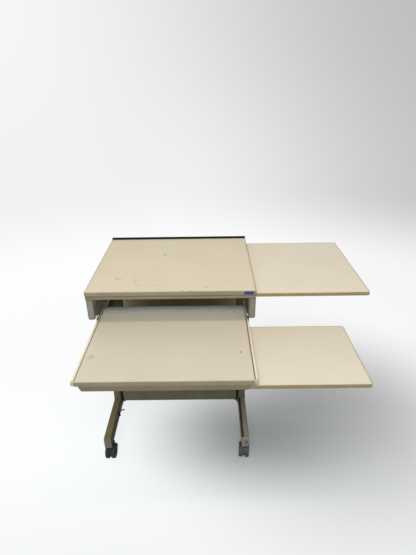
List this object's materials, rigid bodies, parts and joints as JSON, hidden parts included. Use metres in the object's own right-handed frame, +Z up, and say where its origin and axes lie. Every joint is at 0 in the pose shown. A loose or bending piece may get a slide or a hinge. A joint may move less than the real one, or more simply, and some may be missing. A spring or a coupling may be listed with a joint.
{
  "type": "mobile computer desk",
  "caption": "Rolling steel-framed computer desk with a laminate top, a pull-out keyboard tray on roller slides and a sliding side leaf on each level.",
  "frame": {"origin": "on the floor, under the middle of the desk's box with the tray and both leaves pulled out", "axes": "+X towards the side where the leaves slide out, -Y towards the user, +Z up"},
  "size_m": [1.167, 0.962, 0.858],
  "materials": {
    "cream_laminate": "matte cream laminate on particle board",
    "cream_edge_band": "satin edge banding",
    "painted_batten": "painted matte",
    "taupe_paint": "fine-textured powder coat",
    "warm_grey_paint": "satin powder coat",
    "cream_paint": "smooth epoxy coat",
    "zinc_plate": "dull zinc plate",
    "black_plastic": "matte black",
    "grey_plastic": "moulded, satin",
    "white_nylon": "moulded, smooth"
  },
  "bodies": {
    "desk": {"top_board": "cream_laminate", "top_edge_band": "cream_edge_band", "rear_stop_strip": "black_plastic", "front_rail": "warm_grey_paint", "rear_rail": "warm_grey_paint", "left_batten": "painted_batten", "rear_batten": "painted_batten", "left_side_bracket": "warm_grey_paint", "right_side_bracket": "warm_grey_paint", "back_panel": "taupe_paint", "left_slide_hanger": "taupe_paint", "right_slide_hanger": "taupe_paint", "left_slide_track": "cream_paint", "right_slide_track": "cream_paint", "left_foot": "taupe_paint", "right_foot": "taupe_paint", "left_front_foot_cap": "grey_plastic", "right_front_foot_cap": "grey_plastic", "left_rear_foot_cap": "grey_plastic", "right_rear_foot_cap": "grey_plastic", "left_column": "taupe_paint", "right_column": "taupe_paint", "left_head_arm": "taupe_paint", "right_head_arm": "taupe_paint", "left_riser": "taupe_paint", "right_riser": "taupe_paint", "modesty_panel": "taupe_paint", "cable_hook": "taupe_paint"},
    "tray": {"tray_board": "cream_laminate", "tray_front_band": "cream_edge_band", "tray_front_skirt": "warm_grey_paint", "leaf_rear_runner": "zinc_plate", "tray_rear_channel": "zinc_plate", "left_tray_runner": "cream_paint", "right_tray_runner": "cream_paint", "left_runner_cap": "white_nylon", "right_runner_cap": "white_nylon"},
    "upper_leaf": {"upper_leaf_board": "cream_laminate", "upper_leaf_edge_band": "cream_edge_band"},
    "lower_leaf": {"lower_leaf_board": "cream_laminate", "lower_leaf_edge_band": "cream_edge_band"},
    "left_track_roller": {"left_track_roller": "white_nylon"},
    "right_track_roller": {"right_track_roller": "white_nylon"},
    "left_runner_roller": {"left_runner_roller": "white_nylon"},
    "right_runner_roller": {"right_runner_roller": "white_nylon"},
    "caster_front_left": {"caster_front_left_body": "grey_plastic"},
    "caster_front_left_left_wheel": {"caster_front_left_left_wheel": "grey_plastic"},
    "caster_front_left_right_wheel": {"caster_front_left_right_wheel": "grey_plastic"},
    "caster_front_right": {"caster_front_right_body": "grey_plastic"},
    "caster_front_right_left_wheel": {"caster_front_right_left_wheel": "grey_plastic"},
    "caster_front_right_right_wheel": {"caster_front_right_right_wheel": "grey_plastic"},
    "caster_rear_left": {"caster_rear_left_body": "grey_plastic"},
    "caster_rear_left_left_wheel": {"caster_rear_left_left_wheel": "grey_plastic"},
    "caster_rear_left_right_wheel": {"caster_rear_left_right_wheel": "grey_plastic"},
    "caster_rear_right": {"caster_rear_right_body": "grey_plastic"},
    "caster_rear_right_left_wheel": {"caster_rear_right_left_wheel": "grey_plastic"},
    "caster_rear_right_right_wheel": {"caster_rear_right_right_wheel": "grey_plastic"}
  },
  "joints": [
    {"name": "tray_slide", "type": "slide", "parent": "desk", "child": "tray", "axis": [0, 1, 0], "range_m": [-0.045, 0.355]},
    {"name": "upper_leaf_slide", "type": "slide", "parent": "desk", "child": "upper_leaf", "axis": [1, 0, 0], "range_m": [-0.462, 0]},
    {"name": "lower_leaf_slide", "type": "slide", "parent": "tray", "child": "lower_leaf", "axis": [1, 0, 0], "range_m": [-0.405, 0]},
    {"name": "left_track_roller_spin", "type": "hinge", "parent": "desk", "child": "left_track_roller", "pos_m": [-0.5528, -0.044, 0.6814], "axis": [1, 0, 0], "continuous": true},
    {"name": "right_track_roller_spin", "type": "hinge", "parent": "desk", "child": "right_track_roller", "pos_m": [0.0858, -0.044, 0.6814], "axis": [1, 0, 0], "continuous": true},
    {"name": "left_runner_roller_spin", "type": "hinge", "parent": "tray", "child": "left_runner_roller", "pos_m": [-0.5528, 0.0313, 0.6814], "axis": [1, 0, 0], "continuous": true},
    {"name": "right_runner_roller_spin", "type": "hinge", "parent": "tray", "child": "right_runner_roller", "pos_m": [0.0858, 0.0313, 0.6814], "axis": [1, 0, 0], "continuous": true},
    {"name": "front_left_swivel", "type": "hinge", "parent": "desk", "child": "caster_front_left", "pos_m": [-0.5495, -0.165, 0.1], "axis": [0, 0, 1], "continuous": true},
    {"name": "front_right_swivel", "type": "hinge", "parent": "desk", "child": "caster_front_right", "pos_m": [0.0825, -0.165, 0.1], "axis": [0, 0, 1], "continuous": true},
    {"name": "rear_left_swivel", "type": "hinge", "parent": "desk", "child": "caster_rear_left", "pos_m": [-0.5495, 0.387, 0.1], "axis": [0, 0, 1], "continuous": true},
    {"name": "rear_right_swivel", "type": "hinge", "parent": "desk", "child": "caster_rear_right", "pos_m": [0.0825, 0.387, 0.1], "axis": [0, 0, 1], "continuous": true},
    {"name": "front_left_left_wheel_spin", "type": "hinge", "parent": "caster_front_left", "child": "caster_front_left_left_wheel", "pos_m": [-0.5495, -0.187, 0.032], "axis": [-1, 0, 0], "continuous": true},
    {"name": "front_left_right_wheel_spin", "type": "hinge", "parent": "caster_front_left", "child": "caster_front_left_right_wheel", "pos_m": [-0.5495, -0.187, 0.032], "axis": [-1, 0, 0], "continuous": true},
    {"name": "front_right_left_wheel_spin", "type": "hinge", "parent": "caster_front_right", "child": "caster_front_right_left_wheel", "pos_m": [0.0802, -0.18688, 0.032], "axis": [-0.9945, 0.1045, 0], "continuous": true},
    {"name": "front_right_right_wheel_spin", "type": "hinge", "parent": "caster_front_right", "child": "caster_front_right_right_wheel", "pos_m": [0.0802, -0.18688, 0.032], "axis": [-0.9945, 0.1045, 0], "continuous": true},
    {"name": "rear_left_left_wheel_spin", "type": "hinge", "parent": "caster_rear_left", "child": "caster_rear_left_left_wheel", "pos_m": [-0.54493, 0.40852, 0.032], "axis": [0.9781, -0.2079, 0], "continuous": true},
    {"name": "rear_left_right_wheel_spin", "type": "hinge", "parent": "caster_rear_left", "child": "caster_rear_left_right_wheel", "pos_m": [-0.54493, 0.40852, 0.032], "axis": [0.9781, -0.2079, 0], "continuous": true},
    {"name": "rear_right_left_wheel_spin", "type": "hinge", "parent": "caster_rear_right", "child": "caster_rear_right_left_wheel", "pos_m": [0.07498, 0.36633, 0.032], "axis": [-0.9397, 0.342, 0], "continuous": true},
    {"name": "rear_right_right_wheel_spin", "type": "hinge", "parent": "caster_rear_right", "child": "caster_rear_right_right_wheel", "pos_m": [0.07498, 0.36633, 0.032], "axis": [-0.9397, 0.342, 0], "continuous": true}
  ]
}
